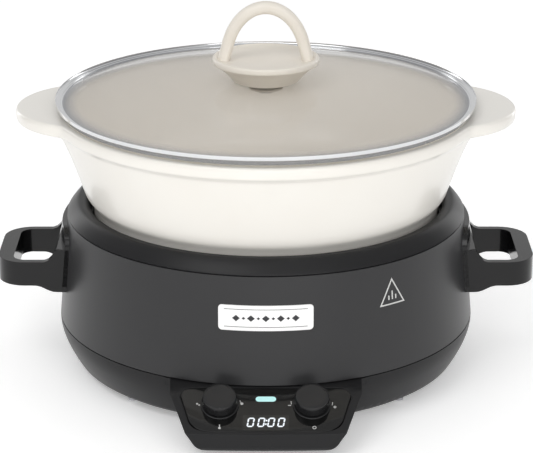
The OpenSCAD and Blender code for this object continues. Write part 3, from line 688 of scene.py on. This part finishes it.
# Each point is (radius, height, share of the ear's reach that it takes).
outside = [(0, 38, 0), (60, 38, 0)]
outside += with_share(bezier((110, 38), (119, 38), (122.8, 42), (123.3, 50), 8), 0)
shoulder = bezier((124.8, 118), (125, 126.5), (128.6, 125.4), (SHOULDER_R, SHOULDER_Z), 10)
outside += with_share(shoulder, 0)
for height in (136, 141, 146, 151, 156, 161, 165, 169, 172, 175, 177.5, 179.5):
    outside.append((flare_radius(height), height, 0.14 * max(0, (height - 146) / 34) ** 3))
outside += even((flare_radius(179.5), 179.5, 0.13), (149.3, 181.7, 0.9), 8)
outside += with_share(bezier((149.8, 181.9), (150.9, 182.5), (RIM_R, 184), (RIM_R, 186), 6), 1)
rolled = bezier((RIM_R, 186.6), (RIM_R, 189.6), (150.4, RIM_TOP), (148.6, RIM_TOP), 6)
outside += with_share(rolled, 1)
inside = even((148.6, RIM_TOP, 1), (146.6, RIM_TOP - 0.15, 0), 6)
inside += with_share(bezier((145.9, 190.2), (145, 189.7), (144.8, 188), (143.6, 184.5), 5), 0)
inside += with_share(bezier((131, 140), (126.5, 127), (122.4, 129), (121.8, 112), 12), 0)
inside += with_share(bezier((119.6, 56), (119, 46), (113, 41.6), (101, 41.5), 10), 0)
inside += [(50, 41.5, 0), (0, 41.5, 0)]
pot_profile = outside + inside
print("points in the pot's profile:", len(pot_profile))

# %% Turning the pot and drawing out its ears
EAR_CENTRE, EAR_REACH, EAR_HALF_W = 127.5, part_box("cooking_pot")[1].x / MM - 127.5, 56
EAR_BLEND = 5.0
# Where the ear's outline stays this far inside the rim, the blend adds next to nothing.
EAR_FADE = -25


def ear_extension(turn):
    """How far the ear reaches past the rim in the direction turn, softened where they meet."""
    c, s = abs(cos(turn)), sin(turn)
    a2, b2 = EAR_REACH ** 2, EAR_HALF_W ** 2
    square, half = c * c / a2 + s * s / b2, EAR_CENTRE * c / a2
    inner = half * half - square * (EAR_CENTRE ** 2 / a2 - 1)
    if inner <= 0:
        return 0
    past = (half + sqrt(inner)) / square - RIM_R
    return (past + sqrt(past * past + EAR_BLEND ** 2)) / 2 if past > EAR_FADE else 0


pot = turned([(r, z) for r, z, share in pot_profile], Matrix.Identity(4), 360)
for vert in pot.verts:
    radius = hypot(vert.co.x, vert.co.y)
    share = min(pot_profile, key=lambda p: hypot(p[0] - radius / MM, p[1] - vert.co.z / MM))[2]
    if share:
        turn = Vector((vert.co.x, vert.co.y)).angle_signed(Vector((1, 0)))
        grown = 1 + share * ear_extension(turn) * MM / radius
        vert.co.x *= grown
        vert.co.y *= grown
bmesh.ops.transform(pot, matrix=ON_POT_AXIS, verts=pot.verts)
piece("enamelled_pot", pot, "pot", "pot_enamel", ["cooking_pot"], weighted=False)

# %% [markdown]
# ## The lid
# A shallow glass dome sits in a folded steel ring. The dome is an arc turned on the pot's
# axis, with a real thickness so that its edge reads as glass. The ring is a channel whose
# upper lip is rolled over, which gives the thin bright line round the lid.

# %% Glass dome
DOME_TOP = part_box("lid_glass")[1].z / MM
GLASS_R, GLASS_EDGE_Z = 146.4, 195.4
DOME_RISE = DOME_TOP - GLASS_EDGE_Z
DOME_R = (GLASS_R ** 2 + DOME_RISE ** 2) / (2 * DOME_RISE)


def dome_height(radius, drop):
    """Height of the dome over a radius, drop millimetres inside its outer face."""
    return DOME_TOP - DOME_R + sqrt((DOME_R - drop) ** 2 - radius ** 2)


GLASS_THICK, DOME_POINTS = 3.6, 20
radii = [GLASS_R * i / DOME_POINTS for i in range(DOME_POINTS + 1)]
dome_profile = [(r, dome_height(r, 0)) for r in radii]
dome_profile += [(r, dome_height(r, GLASS_THICK)) for r in reversed(radii)]
piece("glass_dome", turned(dome_profile, steps=180), "lid", "lid_glass", ["lid_glass"], weighted=False)

# %% Steel ring
ring_low, ring_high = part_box("lid_ring")
RING_R, RING_LOW, RING_TOP = ring_high.x / MM, ring_low.z / MM, ring_high.z / MM
steel_profile = bezier((144.2, RING_LOW + 0.1), (147.5, RING_LOW),
                       (149.6, RING_LOW), (RING_R, RING_LOW + 1.5), 6)
steel_profile += bezier((RING_R, RING_LOW + 3.6), (RING_R, RING_TOP),
                        (148.6, RING_TOP), (147.6, RING_TOP), 8)
steel_profile += bezier((147.3, RING_TOP), (146.6, RING_TOP),
                        (146.2, RING_TOP - 0.2), (146.2, RING_TOP - 0.8), 4)
steel_profile += [(146.6, RING_TOP - 1.0), (148.6, RING_TOP - 1.1, 0.4), (148.9, RING_LOW + 1.0, 0.4),
                  (144.2, RING_LOW + 0.9)]
piece("steel_ring", turned(steel_profile), "lid", "ring_steel", ["lid_ring"])

# %% [markdown]
# ## Lid handle
# A bowl-shaped boss carries a dished disc with a raised rim, and an arch stands in the dish.
# Boss and disc are one turned profile. The arch is a rounded section spun through half a turn
# about the front-to-back line, then its rings are moved from the circle to a taller half
# ellipse, and its feet are spread where they run into the disc.

# %% Boss and disc
DISC_Z = 222.6
DISC_R = 38
disc_profile = [(0, DOME_TOP + 1.0), (23.4, DOME_TOP + 1.0, 0.6)]
disc_profile += bezier((24, DOME_TOP + 2), (28, DOME_TOP + 7),
                       (33, DISC_Z - 3.6), (35.6, DISC_Z - 1.8), 8)
disc_profile += bezier((36.4, DISC_Z - 1.2), (37.5, DISC_Z - 1),
                       (DISC_R, DISC_Z - 0.5), (DISC_R, DISC_Z + 0.4), 4)
disc_profile += bezier((DISC_R, DISC_Z + 1.4), (DISC_R, DISC_Z + 3),
                       (37.5, DISC_Z + 3.6), (36.6, DISC_Z + 3.6), 6)
disc_profile += bezier((35.8, DISC_Z + 3.6), (34.2, DISC_Z + 2.2),
                       (31, DISC_Z + 1.4), (26, DISC_Z + 1.1), 8)
disc_profile += [(0, DISC_Z + 0.9)]
piece("handle_disc", turned(disc_profile, steps=160), "lid", "grip_cream", ["lid_handle"], weighted=False)

# %% Arch
ARCH_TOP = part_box("lid_handle")[1].z / MM - 0.4
ARCH_HALF_W, ARCH_THICK, ARCH_DEEP = 32.6, 8.8, 10
FOOT_Z = DISC_Z + 1.0
FOOT_H, FOOT_DEEPER, FOOT_SPREAD = 14, 0.4, 1.8
mid_w, mid_h = ARCH_HALF_W - ARCH_THICK / 2, ARCH_TOP - FOOT_Z - ARCH_THICK / 2
half_t, half_d = ARCH_THICK / 2, ARCH_DEEP / 2
arch = bmesh.new()
section = [(mid_w - half_t, -half_d, 3.6), (mid_w + half_t, -half_d, 3.6),
           (mid_w + half_t, half_d, 3.6), (mid_w - half_t, half_d, 3.6)]
outline(arch, section, lambda x, y: mm(x, y, 0), 7)
bmesh.ops.spin(arch, geom=arch.verts[:] + arch.edges[:], cent=(0, 0, 0), axis=(0, -1, 0),
               angle=pi, steps=64)
for vert in arch.verts:
    turn = Vector((vert.co.x, vert.co.z)).normalized()
    off = hypot(vert.co.x, vert.co.z) - mid_w * MM
    on_ellipse = Vector((mid_w * turn.x, mid_h * turn.y)) * MM
    normal = Vector((turn.x / mid_w, turn.y / mid_h)).normalized()
    spot = on_ellipse + normal * off
    vert.co.x, vert.co.z = spot
    near_foot = max(0, 1 - vert.co.z / (FOOT_H * MM)) ** 2
    vert.co.y *= 1 + FOOT_DEEPER * near_foot
    vert.co.x += (1 if vert.co.x > 0 else -1) * FOOT_SPREAD * MM * near_foot
bmesh.ops.transform(arch, matrix=Matrix.Translation((0, POT_AXIS, FOOT_Z * MM)), verts=arch.verts)
bmesh.ops.holes_fill(arch, edges=[e for e in arch.edges if e.is_boundary], sides=0)
bmesh.ops.recalc_face_normals(arch, faces=arch.faces)
piece("handle_arch", arch, "lid", "grip_cream", weighted=False)

# %% [markdown]
# ## Side handles
# Each handle is a loop of glossy plastic: two thin arms, a wider grip across their ends, and a
# plate that follows the wall. The loop is two outlines bridged into a flat ring, thickened and
# bevelled. Near the wall its underside sweeps down and its arms sweep up into the plate, which
# is done by cutting the loop into slices and moving them.

# %% The loop
HANDLE_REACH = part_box("right_handle")[1].x / MM
HALF_W, BAR_LOW, BAR_TOP = 38.6, 66.2, 84.2
GRIP_W, ARM_W = 11.5, 5.6
# The loop's ends lie on WALL_END_R, inside the wall, and its opening starts at OPENING_X.
WALL_END_R, OPENING_X = 146.2, 151.6


def ease(share):
    """A share that starts and ends gently."""
    share = min(1, max(0, share))
    return share * share * (3 - 2 * share)


def outside_wall(at):
    return at.x > 149


def under_rim(at):
    """True on the lower edge round the outside of the loop, not round its opening."""
    return outside_wall(at) and at.z < BAR_LOW + 1 and hypot(at.x - 150, at.y) > 40


def handle_loop():
    bm = bmesh.new()
    wall_side = [(sqrt(WALL_END_R ** 2 - y * y), y) for y in (30, 20, 10, 0, -10, -20, -30)]
    end_x = sqrt(WALL_END_R ** 2 - HALF_W ** 2)
    outer = [(end_x, -HALF_W), (HANDLE_REACH, -HALF_W, 20), (HANDLE_REACH, HALF_W, 20),
             (end_x, HALF_W)] + wall_side
    inner_x, arm = HANDLE_REACH - GRIP_W, HALF_W - ARM_W
    inner = [(OPENING_X, -arm, 3), (inner_x, -arm, 9), (inner_x, arm, 9), (OPENING_X, arm, 3)]
    for loop in (outer, inner):
        outline(bm, loop, lambda x, y: mm(x, y, BAR_LOW), 8)
    bmesh.ops.bridge_loops(bm, edges=bm.edges[:])
    cut_across(bm, (150, 153, 156, 159, 162, 165, 168, 172))
    thicken(bm, BAR_LOW, BAR_TOP)
    bevel_edges(bm, sharp_edges(bm, 60, under_rim), 6, 7)
    bevel_edges(bm, sharp_edges(bm, 60, outside_wall), 1.8, 5)
    for vert in bm.verts:
        x, z = vert.co.x / MM, vert.co.z / MM
        low_share = (BAR_TOP - z) / (BAR_TOP - BAR_LOW)
        drop = 4.9 * ease((166 - x) / 15) * low_share
        lift = 7.5 * max(0, (160 - x) / 9) ** 2.2 * (1 - low_share) if x < 160 else 0
        vert.co.z += (min(lift, 9) - drop) * MM
    return bm


# %% The plate on the wall
PLATE_LOW, PLATE_HIGH, PLATE_OUT = 61.2, 107.5, 3.4


def wall_plate():
    """A rounded plate that follows the wall, with its middle at +X."""
    corners = [(-HALF_W, PLATE_LOW, 4), (HALF_W, PLATE_LOW, 4),
               (HALF_W, PLATE_HIGH, 14), (-HALF_W, PLATE_HIGH, 14)]
    bm = slab(corners, -0.4, PLATE_OUT, 0, range(-36, 37, 4), 8)
    bevel_edges(bm, top_rim(bm, PLATE_OUT), 1.4, 4)
    for vert in bm.verts:
        across, height, off = vert.co / MM
        radius = wall_radius(height) + off
        vert.co = mm(sqrt(radius ** 2 - across ** 2), across, height)
    bmesh.ops.recalc_face_normals(bm, faces=bm.faces)
    return bm


for side, sign in (("right", 1), ("left", -1)):
    to_side = ON_POT_AXIS @ Matrix.Diagonal((sign, 1, 1, 1))
    parts = (("loop", handle_loop(), [f"{side}_handle"]), ("plate", wall_plate(), []))
    for part, made, stands_for in parts:
        bmesh.ops.transform(made, matrix=to_side, verts=made.verts)
        bmesh.ops.recalc_face_normals(made, faces=made.faces)
        piece(f"{side}_handle_{part}", made, "base", "handle_plastic", stands_for)

# %% [markdown]
# ## Badge
# A small white plate with rounded corners is glued to the front of the wall. It is left blank
# but for a plain printed ornament, a row of lozenges between two thin rules. The plate is made
# flat, cut into strips and laid round the wall.

# %% Badge plate and ornament
badge_low, badge_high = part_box("badge_plate")
BADGE_Z = (badge_low.z + badge_high.z) / 2 / MM


def round_the_wall(bm, lift=0):
    """Lays a flat mesh on the front of the wall: x across, y up, z outwards."""
    for vert in bm.verts:
        across, height, off = vert.co / MM
        radius = wall_radius(height) + off + lift
        vert.co = mm(across, -sqrt(radius ** 2 - across ** 2), height)
    bmesh.ops.recalc_face_normals(bm, faces=bm.faces)
    bmesh.ops.transform(bm, matrix=ON_POT_AXIS, verts=bm.verts)
    return bm


BADGE_HALF_W, BADGE_HALF_H, BADGE_THICK = 32, 8.75, 0.8
INK = 0.06
low, high = BADGE_Z - BADGE_HALF_H, BADGE_Z + BADGE_HALF_H
badge_corners = [(-BADGE_HALF_W, low, 2.5), (BADGE_HALF_W, low, 2.5),
                 (BADGE_HALF_W, high, 2.5), (-BADGE_HALF_W, high, 2.5)]
badge = slab(badge_corners, 0, BADGE_THICK, 0.35, range(-28, 29, 4))
piece("badge", round_the_wall(badge), "base", "badge_white", ["badge_plate"])

ornament = bmesh.new()
for step in range(-4, 5):
    half_w, half_h = (2.6, 2.2) if step % 2 == 0 else (1.2, 1.0)
    spots = [(step * 5 - half_w, 0), (step * 5, -half_h), (step * 5 + half_w, 0), (step * 5, half_h)]
    ornament.faces.new([ornament.verts.new(mm(x, BADGE_Z + y, BADGE_THICK)) for x, y in spots])
for y in (-6.2, 5.9):
    for x in range(-28, 28, 4):
        spots = [(x, y), (x + 4, y), (x + 4, y + 0.35), (x, y + 0.35)]
        corners = [ornament.verts.new(mm(a, BADGE_Z + b, BADGE_THICK)) for a, b in spots]
        ornament.faces.new(corners)
bmesh.ops.remove_doubles(ornament, verts=ornament.verts, dist=1e-6)
thicken(ornament, BADGE_THICK, BADGE_THICK + INK)
piece("badge_ornament", round_the_wall(ornament), "base", "component_dark")
print("badge centre height:", round(BADGE_Z, 1))

# %% [markdown]
# ## Everything else
# The nodes of the frame that stay visible already carry the material of their slot, and those
# materials were rebuilt above, so each of them is finished. A last check lists any slot that
# was forgotten.

# %% Slots without a finish
finished = [m.name for m in bpy.data.materials if m.node_tree and m.node_tree.nodes.get("Noise Texture")]
used = {slot.material.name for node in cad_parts.values() for slot in node.material_slots}
print("slots left plain:", sorted(used - set(finished)))

# %% Table top
table_top = Finish("table_top", Emission_Color=(1, 1, 1, 1), Emission_Strength=0.3)
cloud = table_top.noise(400, 2)
table_white = table_top.blend(cloud, tone(248, 248, 248), tone(252, 252, 252))
table_top.feed(table_top.shader.inputs["Base Color"], table_white)
table_top.feed(table_top.shader.inputs["Roughness"], 0.6 + cloud * 0.1)
floor.data.materials.append(table_top.material)
